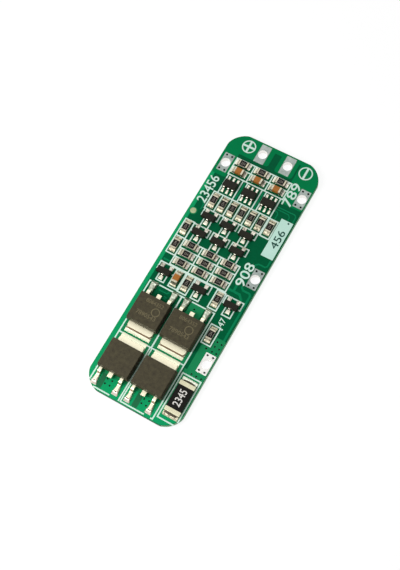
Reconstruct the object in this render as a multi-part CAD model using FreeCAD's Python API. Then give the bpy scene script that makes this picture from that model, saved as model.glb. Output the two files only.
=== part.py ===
import FreeCAD, Part
import math
import os

# Battery protection board, a single bare circuit board with parts on its upper face.
# Lengths are millimetres. X runs across the board, Y along it and Z up.
# The origin lies under the middle of the board, on its underside.

# Bare board: a long strip with four milled corners
board_length = 59.0
board_width = 20.0
board_thick = 1.2
corner_setback = 3.4          # how far each corner arc starts from the square corner
corner_radius = 4.0

# Wire pads: holes with a tinned land on each face
wire_hole_diameter = 1.9
pad_length = 4.1
pad_width = 2.15
land_thick = 0.05             # tinned copper above the board
output_pad_margin = 0.33      # land to the short edge
right_pad_margin = 0.22       # land to the long edge
left_pad_margin = 0.59
first_tap_inset = 5.35        # land to the short edge
positive_pad_inset = 5.2
pad_to_shunt_gap = 1.93

# Chip resistors and chip capacitors
chip_length = 2.0
chip_width = 1.25
resistor_height = 0.5
capacitor_height = 0.85
end_cap_length = 0.38
end_cap_wall = 0.02           # how far an end cap stands proud of the ceramic
end_cap_bevel = 0.07
chip_land_reach = 0.75        # land beyond the chip's end
chip_land_inset = 0.35        # land under the chip's end
chip_land_side = 0.05         # land beyond the chip's side
solder_climb = 0.8            # share of the metal's height that the solder climbs
solder_hollow = 0.3           # bend of the solder's slope, as shares of its run and rise

# Three-leaded and six-leaded small packages
lead_pitch = 0.95
lead_thick = 0.13
lead_slope = 80.0             # degrees from the board
mould_gap = 0.06              # under the moulding
mould_draft = 0.09
small_length = 2.9
small_height = 1.1
small_land_reach = 0.35       # land beyond the lead's toe
small_land_side = 0.13        # land beyond the lead's side

transistor_width = 1.3
transistor_span = 2.4         # toe to toe
transistor_lead_width = 0.42
transistor_foot = 0.36

monitor_width = 1.6
monitor_span = 2.9
monitor_lead_width = 0.36
monitor_foot = 0.4

# Power switches: a moulding on a copper tab, two formed leads and a cut middle lead
switch_width = 6.6
switch_depth = 6.0
switch_height = 2.25
switch_draft = 0.25
switch_foot_draft = 0.12
tab_width = 5.33
tab_reach = 1.2               # tab beyond the moulding
tab_bevel = 0.5
inner_plate_width = 4.4
inner_plate_depth = 1.3       # from the plate's end to the lead side of the moulding
frame_thick = 0.5
power_lead_pitch = 4.572
power_lead_width = 0.76
power_lead_reach = 2.5        # moulding to toe
power_lead_foot = 1.3
power_lead_rise = 0.5         # underside of the lead where it leaves the moulding
power_lead_slope = 58.0
power_bend_radius = 0.22
power_lead_embed = 0.7
stub_length = 0.95
stub_width = 0.9
tab_land_reach = 0.75
tab_land_side = 0.12
toe_land_reach = 0.6
toe_land_side = 0.36
heel_land_reach = 0.5         # land behind the foot
heel_clearance = 0.35         # flat foot behind the solder heap
mound_height = 0.34

# Current shunt: one large low-value resistor
shunt_length = 6.35
shunt_width = 3.2
shunt_height = 0.62
shunt_cap_length = 0.95
shunt_cap_wall = 0.04
shunt_land_reach = 0.8
shunt_land_inset = 0.9
shunt_margin = 2.07           # land to the far short edge

# Gaps between the rows, from the output pads down to the far edge
output_to_tap_gap = 0.995
tap_to_filter_gap = 0.55
filter_to_monitor_gap = 0.925
monitor_to_gate_gap = 0.65
gate_to_level_gap = 0.4
level_row_gap = 0.66
level_to_bridge_gap = 0.715
bridge_row_gap = 0.65
bridge_to_driver_gap = 0.675
driver_to_switch_gap = 0.7
tab_to_tab_gap = 0.45
far_edge_gap = 0.9
link_resistor_gap = 0.5
reset_to_pad_gap = 1.5

# Gaps along the rows, from the left edge to the right edge
output_left_margin = 6.27
output_pad_gap = 3.4
output_right_margin = 6.03
pad_to_cell_gap = 0.56
cell_gap = 0.68
cell_to_tap_gap = 2.47
gate_left_margin = 3.02
gate_gap = 0.71
gate_right_margin = 3.27
link_margin = 0.985
link_to_bridge_gap = 0.585
bridge_gap = 0.61
bridge_to_tap_gap = 2.99
driver_left_margin = 1.22
driver_to_delay_gap = 0.655
delay_to_resistor_gap = 0.89
resistor_to_driver_gap = 0.565
driver_to_resistor_gap = 1.865
resistor_to_last_gap = 0.815
driver_right_margin = 1.24
switch_margin = 1.3
switch_gap = 0.6
switch_to_shunt_gap = 1.1
shunt_side_gap = 0.6
switch_to_reset_gap = 0.905
reset_side_gap = 2.645
test_point_margin = 0.535
test_point_diameter = 1.25

# Counts
cell_count = 3
gate_count = 7
bridge_rows = 3

# Sizes worked out from the values above
top = board_thick
seat = board_thick + land_thick
wire_hole_radius = wire_hole_diameter / 2
chip_land_span = chip_length + 2 * chip_land_reach
chip_land_width = chip_width + 2 * chip_land_side
transistor_land_span = transistor_span + 2 * small_land_reach
monitor_land_span = monitor_span + 2 * small_land_reach
switch_overall = tab_reach + switch_depth + power_lead_reach
switch_land_span = tab_land_reach + switch_overall + toe_land_reach
shunt_land_span = shunt_length + 2 * shunt_land_reach
link_resistor_pitch = chip_land_span + link_resistor_gap


def vector(x, y, z=0.0):
    return FreeCAD.Vector(x, y, z)


def flat(z):
    """Places an outline level, at height z."""
    return lambda a, b: vector(a, b, z)


def upright_x(x):
    """Places an outline on edge at x: its first number runs along Y, its second up."""
    return lambda a, b: vector(x, a, b)


def upright_y(y):
    """Places an outline on edge at y: its first number runs along X, its second up."""
    return lambda a, b: vector(a, y, b)


def rounded_outline(corners, place):
    """Closed wire through corners (a, b, radius), each corner eased by a tangent arc."""
    starts = []
    middles = []
    ends = []
    for number, (a, b, radius) in enumerate(corners):
        corner = vector(a, b)
        before = vector(*corners[number - 1][:2]) - corner
        after = vector(*corners[(number + 1) % len(corners)][:2]) - corner
        before.normalize()
        after.normalize()
        half_angle = before.getAngle(after) / 2
        setback = radius / math.tan(half_angle)
        inward = before + after
        inward.normalize()
        centre = corner + inward * (radius / math.sin(half_angle))
        starts.append(corner + before * setback)
        middles.append(centre - inward * radius)
        ends.append(corner + after * setback)
    edges = []
    for number, (a, b, radius) in enumerate(corners):
        start, middle, end = [place(p.x, p.y) for p in (starts[number], middles[number], ends[number])]
        following = starts[(number + 1) % len(corners)]
        if radius > 0:
            edges.append(Part.Arc(start, middle, end).toShape())
        edges.append(Part.makeLine(end, place(following.x, following.y)))
    return Part.Wire(edges)


def frustum(lower, upper):
    """Solid with flat sloping sides between two level rectangles, each (length, width, z)."""
    length, width, low = lower
    upper_length, upper_width, high = upper
    wedge = Part.makeWedge(-length / 2, low, -width / 2, -upper_width / 2, -upper_length / 2,
                           length / 2, high, width / 2, upper_width / 2, upper_length / 2)
    wedge.rotate(vector(0, 0), vector(1, 0), 90)
    return wedge


def centred_box(length, width, low, high):
    return Part.makeBox(length, width, high - low, vector(-length / 2, -width / 2, low))


def turned(shape, degrees):
    copy = shape.copy()
    copy.rotate(vector(0, 0), vector(0, 0, 1), degrees)
    return copy


def moved(shape, x, y, z=0.0):
    copy = shape.copy()
    copy.translate(vector(x, y, z))
    return copy


def placed(shape, x, y, degrees=0.0):
    """A part made about the Z axis, turned and set down at (x, y)."""
    return moved(turned(shape, degrees), x, y)


def save(name, shape):
    shape.exportStep("parts/" + name + ".step")


# Bare board and its wire holes

def board_outline(z):
    """Rectangle whose corners are arcs, a little flatter than tangent ones."""
    half_width = board_width / 2
    half_length = board_length / 2
    half_chord = corner_setback / math.sqrt(2)
    sagitta = corner_radius - math.sqrt(corner_radius ** 2 - half_chord ** 2)
    shift = corner_setback / 2 - sagitta / math.sqrt(2)
    edges = []
    first = None
    last = None
    for sign_x, sign_y, along_first in ((1, 1, True), (1, -1, False), (-1, -1, True), (-1, 1, False)):
        on_end = vector(sign_x * (half_width - corner_setback), sign_y * half_length, z)
        on_side = vector(sign_x * half_width, sign_y * (half_length - corner_setback), z)
        middle = vector(sign_x * (half_width - shift), sign_y * (half_length - shift), z)
        start, end = (on_end, on_side) if along_first else (on_side, on_end)
        if last is not None:
            edges.append(Part.makeLine(last, start))
        edges.append(Part.Arc(start, middle, end).toShape())
        first = first or start
        last = end
    edges.append(Part.makeLine(last, first))
    return Part.Wire(edges)


def wire_bore():
    return Part.makeCylinder(wire_hole_radius, seat)


def lower_land():
    """Land on the underside, flush with it."""
    return centred_box(pad_width, pad_length, 0, land_thick)


def wire_pad():
    """The lands at the two ends of a wire hole."""
    upper_land = centred_box(pad_width, pad_length, top, seat)
    return Part.Compound([land.cut(wire_bore()) for land in (upper_land, lower_land())])


def circuit_board():
    """Slab with the wire holes, and a shallow pocket for each lower land."""
    slab = Part.Face(board_outline(0)).extrude(vector(0, 0, board_thick))
    for name, x, y in wire_pad_places():
        slab = slab.cut([moved(wire_bore(), x, y), moved(lower_land(), x, y)])
    return slab


# Chips with wrapped ends

def end_cap(length, cap_length, width, height, bevel):
    """Cap at the +X end, its upper outer edge bevelled."""
    inner = length / 2 - cap_length
    outer = length / 2
    high = seat + height
    corners = [(inner, seat, 0), (outer, seat, 0), (outer, high - bevel, 0),
               (outer - bevel, high, 0), (inner, high, 0)]
    profile = rounded_outline(corners, upright_y(-width / 2))
    return Part.Face(profile).extrude(vector(0, width, 0))


def ceramic_core(length, width, height, wall):
    """The ceramic that runs into the caps, thinner than them by their wall all round."""
    return centred_box(length, width - 2 * wall, seat + wall, seat + height - wall)


def chip(height):
    cap = end_cap(chip_length, end_cap_length, chip_width, height, end_cap_bevel)
    core = ceramic_core(chip_length - end_cap_length, chip_width, height, end_cap_wall)
    return core.fuse([cap, turned(cap, 180)]).removeSplitter()


def shunt():
    """The shunt's ceramic and its pair of end caps."""
    cap = end_cap(shunt_length, shunt_cap_length, shunt_width, shunt_height, end_cap_bevel)
    caps = Part.Compound([cap, turned(cap, 180)])
    core = ceramic_core(shunt_length - shunt_cap_length, shunt_width, shunt_height, shunt_cap_wall)
    return core.cut(caps), caps


# Formed leads and moulded packages

def gull_lead(width, thick, rise, reach, foot, slope, embed, bend_radius=None):
    """Lead towards +Y from a face at y = 0: level, down a slope, then a flat foot.

    Its bends are sharp unless they are given an inner radius.
    """
    low = seat
    angle = math.radians(slope)
    mitre = thick * math.tan(angle / 2)
    knee = reach - foot
    shoulder = knee - rise / math.tan(angle)
    inner_radius = bend_radius or 0
    outer_radius = inner_radius + thick if bend_radius else 0
    corners = [(-embed, low + rise + thick, 0),
               (shoulder, low + rise + thick, outer_radius),
               (knee, low + thick, inner_radius),
               (reach, low + thick, 0),
               (reach, low, 0),
               (knee - mitre, low, outer_radius),
               (shoulder - mitre, low + rise, inner_radius),
               (-embed, low + rise, 0)]
    profile = rounded_outline(corners, upright_x(-width / 2))
    return Part.Face(profile).extrude(vector(width, 0, 0))


def moulding(length, width, low, parting, high, lower_draft, upper_draft):
    """Moulded block, widest at its parting line."""
    middle = (length, width, parting)
    lower = frustum((length - 2 * lower_draft, width - 2 * lower_draft, low), middle)
    upper = frustum(middle, (length - 2 * upper_draft, width - 2 * upper_draft, high))
    return lower.fuse(upper).removeSplitter()


def small_package(width, span, lead_width, foot, upper_leads, lower_leads):
    """Small moulding with gull leads on both long sides, at the given x positions."""
    parting = seat + mould_gap + (small_height - mould_gap) / 2
    body = moulding(small_length, width, seat + mould_gap, parting, seat + small_height,
                    mould_draft, mould_draft)
    rise = parting - lead_thick / 2 - seat
    embed = mould_draft + lead_thick
    lead = gull_lead(lead_width, lead_thick, rise, (span - width) / 2, foot, lead_slope, embed)
    lead = moved(lead, 0, width / 2)
    leads = [moved(lead, x, 0) for x in upper_leads]
    leads += [turned(moved(lead, x, 0), 180) for x in lower_leads]
    return body.fuse(leads)


def transistor():
    return small_package(transistor_width, transistor_span, transistor_lead_width, transistor_foot,
                         (-lead_pitch, lead_pitch), (0,))


def cell_monitor():
    row = (-lead_pitch, 0, lead_pitch)
    return small_package(monitor_width, monitor_span, monitor_lead_width, monitor_foot, row, row)


def power_lead():
    """Formed outer lead of a power switch, on the switch's middle line."""
    lead = gull_lead(power_lead_width, frame_thick, power_lead_rise, power_lead_reach, power_lead_foot,
                     power_lead_slope, power_lead_embed, power_bend_radius)
    return moved(lead, 0, switch_depth / 2)


def switch_frame():
    """Copper plate with the tab and the cut middle lead, and the two outer leads."""
    tab_half = tab_width / 2
    plate_half = inner_plate_width / 2
    tab_end = -switch_depth / 2 - tab_reach
    tab_root = tab_end + 2 * tab_reach
    plate_end = switch_depth / 2 - inner_plate_depth
    half_outline = [(tab_half - tab_bevel, tab_end), (tab_half, tab_end + tab_bevel), (tab_half, tab_root),
                    (plate_half, tab_root), (plate_half, plate_end)]
    corners = [(x, y, 0) for x, y in half_outline] + [(-x, y, 0) for x, y in reversed(half_outline)]
    plate = Part.Face(rounded_outline(corners, flat(seat))).extrude(vector(0, 0, frame_thick))
    lead_low = seat + power_lead_rise
    riser = Part.makeBox(stub_width, frame_thick, power_lead_rise + frame_thick,
                         vector(-stub_width / 2, plate_end - frame_thick, seat))
    stub_end = switch_depth / 2 + stub_length
    stub = Part.makeBox(stub_width, stub_end - plate_end + frame_thick, frame_thick,
                        vector(-stub_width / 2, plate_end - frame_thick, lead_low))
    drain = plate.fuse([riser, stub]).removeSplitter()
    outer = [moved(power_lead(), side * power_lead_pitch / 2, 0) for side in (-1, 1)]
    return Part.Compound([drain] + outer)


def switch_case(frame):
    """Moulding round the frame, with the plate's underside left bare."""
    low = seat + mould_gap
    parting = seat + power_lead_rise + frame_thick / 2
    body = moulding(switch_width, switch_depth, low, parting, seat + switch_height,
                    switch_foot_draft, switch_draft)
    return body.cut(frame)


# Solder: each joint is a tinned land with a hollow fillet up the metal

def solder_joint(inner, face, outer, width, rise, hollow=0.5):
    """Joint along +X, from under the metal at inner, past its end at face, to the land's end.

    Its slope has one bend, below the straight line by hollow; at 0.5 the slope is straight.
    """
    corners = [(inner, top, 0), (outer, top, 0), (outer, seat, 0)]
    if hollow < 0.5:
        corners.append((face + hollow * (outer - face), seat + hollow * rise, 0))
    corners += [(face, seat + rise, 0), (face, seat, 0), (inner, seat, 0)]
    profile = rounded_outline(corners, upright_y(-width / 2))
    return Part.Face(profile).extrude(vector(0, width, 0))


def chip_joints(height):
    half = chip_length / 2
    joint = solder_joint(half - chip_land_inset, half, half + chip_land_reach, chip_land_width,
                         solder_climb * height, solder_hollow)
    return [joint, turned(joint, 180)]


def lead_joints(span, foot, lead_width, upper_leads, lower_leads):
    """Joints of a small package, one under each lead's foot."""
    toe = span / 2
    joint = turned(solder_joint(toe - foot, toe, toe + small_land_reach,
                                lead_width + 2 * small_land_side, lead_thick), 90)
    joints = [moved(joint, x, 0) for x in upper_leads]
    joints += [turned(moved(joint, x, 0), 180) for x in lower_leads]
    return joints


def shunt_joints():
    half = shunt_length / 2
    joint = solder_joint(half - shunt_land_inset, half, half + shunt_land_reach, shunt_width,
                         solder_climb * shunt_height, solder_hollow)
    return [joint, turned(joint, 180)]


def lead_mound():
    """Solder heaped round the foot of one power lead, with the lead's own space left free."""
    toe = switch_depth / 2 + power_lead_reach
    heel = toe - power_lead_foot
    land_width = power_lead_width + 2 * toe_land_side
    land_length = toe_land_reach + power_lead_foot + heel_land_reach
    land = moved(centred_box(land_width, land_length, top, seat), 0, toe + toe_land_reach - land_length / 2)
    heap_length = toe_land_reach + power_lead_foot - heel_clearance
    heap = frustum((land_width, heap_length, seat),
                   (power_lead_width, heap_length - toe_land_reach, seat + mound_height))
    heap = moved(heap, 0, heel + heel_clearance + heap_length / 2)
    return land.fuse(heap.cut(power_lead())).removeSplitter()


def switch_joints():
    """Land and fillet under the tab, and the two mounds."""
    tab_end = switch_depth / 2 + tab_reach
    plate_end = switch_depth / 2 - inner_plate_depth
    tab_joint = turned(solder_joint(-plate_end, tab_end, tab_end + tab_land_reach,
                                    tab_width + 2 * tab_land_side, solder_climb * frame_thick), -90)
    mounds = [moved(lead_mound(), side * power_lead_pitch / 2, 0) for side in (-1, 1)]
    return [tab_joint] + mounds


def test_point():
    return moved(Part.makeCylinder(test_point_diameter / 2, land_thick), test_point_x, rows["level_1"], top)


# Places: pieces stand in chains across and along the board

def spread(length, chain, end_gap):
    """Middles of pieces in a chain of (gap before it, its size), from 0 along the given length.

    The gaps all stretch or shrink in one proportion, so that the chain fills the length.
    """
    gaps = end_gap + sum(gap for gap, size in chain)
    stretch = (length - sum(size for gap, size in chain)) / gaps
    middles = []
    edge = 0
    for gap, size in chain:
        edge += gap * stretch
        middles.append(edge + size / 2)
        edge += size
    return middles


def across(chain, end_gap):
    """X of each piece in a chain from the left edge to the right one."""
    return [middle - board_width / 2 for middle in spread(board_width, chain, end_gap)]


def row_places():
    """Y of each row, by name."""
    chain = [("output", output_pad_margin, pad_length),
             ("tap", output_to_tap_gap, chip_land_width),
             ("filter", tap_to_filter_gap, chip_land_width),
             ("monitor", filter_to_monitor_gap, monitor_land_span),
             ("gate", monitor_to_gate_gap, chip_land_span),
             ("level_1", gate_to_level_gap, transistor_land_span),
             ("level_2", level_row_gap, transistor_land_span)]
    for number in range(bridge_rows):
        gap = bridge_row_gap if number else level_to_bridge_gap
        chain.append(("bridge_" + str(number + 1), gap, chip_land_width))
    chain += [("driver", bridge_to_driver_gap, chip_land_span),
              ("upper_switch", driver_to_switch_gap, switch_land_span),
              ("lower_switch", tab_to_tab_gap, switch_land_span)]
    middles = spread(board_length, [(gap, size) for name, gap, size in chain], far_edge_gap)
    return {name: board_length / 2 - middle for (name, gap, size), middle in zip(chain, middles)}


def tap_places():
    """Y of the three pads along the right edge: evenly spaced, the last one above the shunt."""
    first = board_length / 2 - first_tap_inset - pad_length / 2
    last = shunt_y + shunt_land_span / 2 + pad_to_shunt_gap + pad_length / 2
    return [first, (first + last) / 2, last]


output_xs = across([(output_left_margin, pad_width), (output_pad_gap, pad_width)], output_right_margin)
cell_row_xs = across([(left_pad_margin, pad_width), (pad_to_cell_gap, chip_land_span)]
                     + [(cell_gap, chip_land_span)] * (cell_count - 1)
                     + [(cell_to_tap_gap, pad_width)], right_pad_margin)
cell_xs = cell_row_xs[1:-1]
gate_xs = across([(gate_left_margin, chip_land_width)]
                 + [(gate_gap, chip_land_width)] * (gate_count - 1), gate_right_margin)
bridge_row_xs = across([(link_margin, chip_land_width), (link_to_bridge_gap, chip_land_span)]
                       + [(bridge_gap, chip_land_span)] * (cell_count - 1)
                       + [(bridge_to_tap_gap, pad_width)], right_pad_margin)
link_x = bridge_row_xs[0]
level_xs = bridge_row_xs[1:-1]
driver_xs = across([(driver_left_margin, small_length), (driver_to_delay_gap, chip_land_width),
                    (delay_to_resistor_gap, chip_land_width), (resistor_to_driver_gap, small_length),
                    (driver_to_resistor_gap, chip_land_width), (resistor_to_last_gap, small_length)],
                   driver_right_margin)
switch_pair = [(switch_margin, switch_width), (switch_gap, switch_width)]
*switch_xs, shunt_x = across(switch_pair + [(switch_to_shunt_gap, shunt_width)], shunt_side_gap)
reset_x = across(switch_pair + [(switch_to_reset_gap, chip_land_width)], reset_side_gap)[-1]
test_point_x = test_point_margin + test_point_diameter / 2 - board_width / 2
shunt_y = shunt_margin + shunt_land_span / 2 - board_length / 2
rows = row_places()
tap_ys = tap_places()
reset_y = tap_ys[-1] + pad_length / 2 + reset_to_pad_gap + chip_land_span / 2


def wire_pad_places():
    """Name, x and y of each wire pad."""
    left_x, right_x = output_xs
    places = [("output_positive_pad", left_x, rows["output"]),
              ("output_negative_pad", right_x, rows["output"]),
              ("pack_positive_pad", cell_row_xs[0], board_length / 2 - positive_pad_inset - pad_length / 2)]
    names = ("upper_tap_pad", "lower_tap_pad", "pack_negative_pad")
    return places + [(name, cell_row_xs[-1], y) for name, y in zip(names, tap_ys)]


def resistor_places():
    """Name, x, y and turn of each chip resistor."""
    places = [("tap_resistor", x, rows["tap"], 0) for x in cell_xs]
    places += [("gate_resistor", x, rows["gate"], 90) for x in gate_xs]
    places += [("link_resistor", link_x, rows["level_2"] - number * link_resistor_pitch, 90)
               for number in range(2)]
    for number in range(bridge_rows):
        row = rows["bridge_" + str(number + 1)]
        places += [("bridge_resistor", x, row, 0) for x in level_xs]
    places += [("driver_resistor", driver_xs[2], rows["driver"], 90),
               ("driver_resistor", driver_xs[4], rows["driver"], 90),
               ("reset_resistor", reset_x, reset_y, 90)]
    return places


def capacitor_places():
    places = [("filter_capacitor", x, rows["filter"], 0) for x in cell_xs]
    return places + [("delay_capacitor", driver_xs[1], rows["driver"], 90)]


def transistor_places():
    places = [("level_transistor", x, rows[row], 0) for row in ("level_1", "level_2") for x in level_xs]
    return places + [("driver_transistor", driver_xs[n], rows["driver"], 0) for n in (0, 3, 5)]


def switch_places():
    """Middle of each moulding: the upper pair's tabs point away from the output pads."""
    offset = (tab_reach + tab_land_reach - power_lead_reach - toe_land_reach) / 2
    upper = [("power_switch", x, rows["upper_switch"] + offset, 0) for x in switch_xs]
    lower = [("power_switch", x, rows["lower_switch"] - offset, 180) for x in switch_xs]
    return upper + lower


def numbered(places):
    """Adds a running number to names that are used more than once."""
    names = [place[0] for place in places]
    seen = {}
    result = []
    for name, x, y, degrees in places:
        seen[name] = seen.get(name, 0) + 1
        label = name + "_" + str(seen[name]) if names.count(name) > 1 else name
        result.append((label, x, y, degrees))
    return result


# Build

os.makedirs("parts", exist_ok=True)

save("circuit_board", circuit_board())
for name, x, y in wire_pad_places():
    save(name, moved(wire_pad(), x, y))

chip_solder = [test_point()]
for places, height in ((resistor_places(), resistor_height), (capacitor_places(), capacitor_height)):
    for name, x, y, degrees in numbered(places):
        save(name, placed(chip(height), x, y, degrees))
        chip_solder += [placed(joint, x, y, degrees) for joint in chip_joints(height)]
save("chip_solder", Part.Compound(chip_solder))

package_solder = []
transistor_pads = lead_joints(transistor_span, transistor_foot, transistor_lead_width,
                              (-lead_pitch, lead_pitch), (0,))
monitor_row = (-lead_pitch, 0, lead_pitch)
monitor_pads = lead_joints(monitor_span, monitor_foot, monitor_lead_width, monitor_row, monitor_row)
for name, x, y, degrees in numbered(transistor_places()):
    save(name, placed(transistor(), x, y, degrees))
    package_solder += [placed(joint, x, y, degrees) for joint in transistor_pads]
for name, x, y, degrees in numbered([("cell_monitor", x, rows["monitor"], 0) for x in cell_xs]):
    save(name, placed(cell_monitor(), x, y, degrees))
    package_solder += [placed(joint, x, y, degrees) for joint in monitor_pads]
save("package_solder", Part.Compound(package_solder))

frame = switch_frame()
case = switch_case(frame)
power_solder = []
for name, x, y, degrees in numbered(switch_places()):
    save(name + "_frame", placed(frame, x, y, degrees))
    save(name + "_case", placed(case, x, y, degrees))
    power_solder += [placed(joint, x, y, degrees) for joint in switch_joints()]
shunt_core, shunt_caps = shunt()
save("current_shunt_core", placed(shunt_core, shunt_x, shunt_y, 90))
save("current_shunt_caps", placed(shunt_caps, shunt_x, shunt_y, 90))
power_solder += [placed(joint, shunt_x, shunt_y, 90) for joint in shunt_joints()]
save("power_solder", Part.Compound(power_solder))
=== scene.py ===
import bmesh
import bpy
import math
from mathutils import Matrix, Vector


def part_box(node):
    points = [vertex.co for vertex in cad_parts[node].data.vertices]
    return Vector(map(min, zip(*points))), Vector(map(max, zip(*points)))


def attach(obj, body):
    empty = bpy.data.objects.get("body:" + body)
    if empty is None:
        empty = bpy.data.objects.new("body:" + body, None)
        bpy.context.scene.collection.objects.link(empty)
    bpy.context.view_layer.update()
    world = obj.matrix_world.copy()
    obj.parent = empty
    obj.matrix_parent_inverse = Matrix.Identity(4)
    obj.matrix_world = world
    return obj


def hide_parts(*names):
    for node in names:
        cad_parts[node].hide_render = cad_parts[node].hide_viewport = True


# Battery protection board, dressed for the camera.
# Pieces are modelled in millimetres round the origin, then set down in the frame, which is in metres.

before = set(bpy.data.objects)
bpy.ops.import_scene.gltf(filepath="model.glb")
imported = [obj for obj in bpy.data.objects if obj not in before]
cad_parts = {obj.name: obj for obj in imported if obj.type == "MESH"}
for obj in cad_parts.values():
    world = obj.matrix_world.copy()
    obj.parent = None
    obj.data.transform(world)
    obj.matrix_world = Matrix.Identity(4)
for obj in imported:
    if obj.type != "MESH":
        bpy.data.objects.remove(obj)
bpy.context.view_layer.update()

MM = 0.001

# Sizes in millimetres, the board's from the frame
board_low, board_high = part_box("circuit_board")
board_width, board_length = (round(side / MM, 3) for side in (board_high - board_low).xy)
board_top = round(board_high.z / MM, 3)
corner_reach = 3.4  # of the board's rounded corners
corner_segments, corner_profile = 18, 0.43
rim_bevel = 0.04
seat = 1.25  # top of the tinned lands, where the parts stand
land_height = seat - board_top + 0.012  # of the tinned land in a joint
above_land = seat - board_top + 0.02  # faces of a joint over this height are solder
ink_top = 1.245
ink_width = 0.255
copper_step = 0.03  # how far covered copper lifts the mask
bore_radius = 0.95
hole_radius = bore_radius + 0.03  # the bore in the laminate, round its plating
barrel_radius = bore_radius + 0.035  # outside of the plating
via_radius, small_via_radius = 0.2, 0.165
bore_sides, via_sides = 48, 14
drill_low, drill_high = -1, 2
pad_width, pad_length = 2.15, 4.1
via_inset_across, via_inset_along = 0.5, 0.45
test_point_place = 1.16, 19.3
chip_length, chip_width = 2.0, 1.25
resistor_height, capacitor_height = 0.5, 0.85
resistor_cap, capacitor_cap = 0.31, 0.38
lead_pitch = 2.286  # from the middle of a power switch to its outer leads
lead_face = 3.0  # from the middle of a power switch to the face over its leads
lower_drift = 0.17  # the lower power switches' leads lie this far to one side
shunt_length, shunt_width = 6.35, 3.2


# Hands: selecting, starting and setting down a piece

def deselect():
    if bpy.context.object and bpy.context.object.mode != "OBJECT":
        bpy.ops.object.mode_set(mode="OBJECT")
    bpy.ops.object.select_all(action="DESELECT")


def take(piece):
    """Makes this piece the only one in hand."""
    deselect()
    piece.select_set(True)
    bpy.context.view_layer.objects.active = piece
    return piece


def open_up(piece):
    """Edit mode with nothing selected."""
    take(piece)
    bpy.ops.object.mode_set(mode="EDIT")
    bpy.ops.mesh.select_mode(type="FACE")
    bpy.ops.mesh.select_all(action="DESELECT")


def close_up(piece):
    bpy.ops.object.mode_set(mode="OBJECT")
    return piece


def every(at, way):
    """Test that everything passes."""
    return True


def upright(at, way):
    """Test that standing edges pass."""
    return abs(way.z) > 0.9


def pick(piece, kind, test=every):
    """Selects edges that pass a test of middle and direction, faces or corners one of place and normal."""
    bpy.ops.mesh.select_mode(type=kind)
    bpy.ops.mesh.select_all(action="DESELECT")
    mesh = bmesh.from_edit_mesh(piece.data)
    if kind == "FACE":
        parts = [(face, face.calc_center_median(), face.normal) for face in mesh.faces]
    elif kind == "EDGE":
        ends = [(edge, *(vertex.co for vertex in edge.verts)) for edge in mesh.edges]
        parts = [(edge, (a + b) / 2, (b - a).normalized()) for edge, a, b in ends]
    else:
        parts = [(vertex, vertex.co, vertex.normal) for vertex in mesh.verts]
    for part, at, way in parts:
        if test(at, way):
            part.select_set(True)
    bmesh.update_edit_mesh(piece.data)


def round_off(piece, test, offset, segments, profile=0.5):
    """Bevels the edges that pass the test."""
    open_up(piece)
    pick(piece, "EDGE", test)
    bpy.ops.mesh.bevel(offset=offset, segments=segments, profile=profile)
    return close_up(piece)


def cut(place, way):
    """In edit mode: new edges where a plane passes through the whole piece."""
    bpy.ops.mesh.select_all(action="SELECT")
    bpy.ops.mesh.bisect(plane_co=place, plane_no=way)


def pull(x, y, z):
    """In edit mode: extrudes what is selected by this much."""
    bpy.ops.mesh.extrude_region_move(TRANSFORM_OT_translate={"value": (x, y, z)})


def resize(piece, kind, test, factors, centre):
    """In edit mode: scales what passes the test about a centre."""
    pick(piece, kind, test)
    bpy.ops.transform.resize(value=factors, center_override=centre)


def bake(piece):
    """Works a piece's place, turn and scale into its mesh."""
    take(piece)
    bpy.ops.object.transform_apply(location=True, rotation=True, scale=True)
    return piece


def fresh(name):
    """The object that was just added, as a piece of this name."""
    piece = bake(bpy.context.object)
    piece.name = piece.data.name = name
    return piece


def shape(name, operator, stretch, **settings):
    """A piece from one of the program's own shapes, stretched along its axes."""
    deselect()
    operator(**settings)
    bpy.context.object.scale = stretch
    return fresh(name)


def block(name, size, centre):
    return shape(name, bpy.ops.mesh.primitive_cube_add, size, size=1, location=centre)


def rod(name, radius, low, high, sides, x=0.0, y=0.0):
    return shape(name, bpy.ops.mesh.primitive_cylinder_add, (1, 1, 1), vertices=sides, radius=radius,
                 depth=high - low, location=(x, y, (low + high) / 2))


def new_object(name, data):
    piece = bpy.data.objects.new(name, data)
    bpy.context.collection.objects.link(piece)
    return piece


def twin(pattern, name):
    """A copy with its own mesh."""
    piece = new_object(name, pattern.data.copy())
    piece.data.name = name
    return piece


def put_away(*patterns):
    for pattern in patterns:
        bpy.data.objects.remove(pattern)


def join(pieces, name):
    deselect()
    for piece in pieces:
        piece.select_set(True)
    bpy.context.view_layer.objects.active = pieces[0]
    if len(pieces) > 1:
        bpy.ops.object.join()
    pieces[0].name = pieces[0].data.name = name
    return pieces[0]


def modify(piece, kind, **settings):
    """Adds one modifier and applies it."""
    take(piece)
    modifier = piece.modifiers.new("modifier", kind)
    for name, value in settings.items():
        setattr(modifier, name, value)
    bpy.ops.object.modifier_apply(modifier=modifier.name)
    return piece


def carve(piece, tool, operation="DIFFERENCE", with_itself=False):
    """Applies a boolean and puts the tool away."""
    modify(piece, "BOOLEAN", operation=operation, solver="EXACT", use_self=with_itself, object=tool)
    put_away(tool)
    return piece


def soften(piece, width, segments=2, angle=30.0):
    """Bevels the sharp edges of the whole piece."""
    return modify(piece, "BEVEL", width=width, segments=segments, limit_method="ANGLE",
                  angle_limit=math.radians(angle))


def smooth(piece, angle=35.0):
    """Smooth over the rounded edges only: large flat faces keep their own normals."""
    take(piece)
    bpy.ops.object.shade_smooth_by_angle(angle=math.radians(angle))
    return modify(piece, "WEIGHTED_NORMAL", keep_sharp=True)


def paint(piece, *finishes):
    """The piece's materials; faces keep their slot numbers."""
    piece.data.materials.clear()
    for finish in finishes:
        piece.data.materials.append(finish)
    return piece


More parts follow.
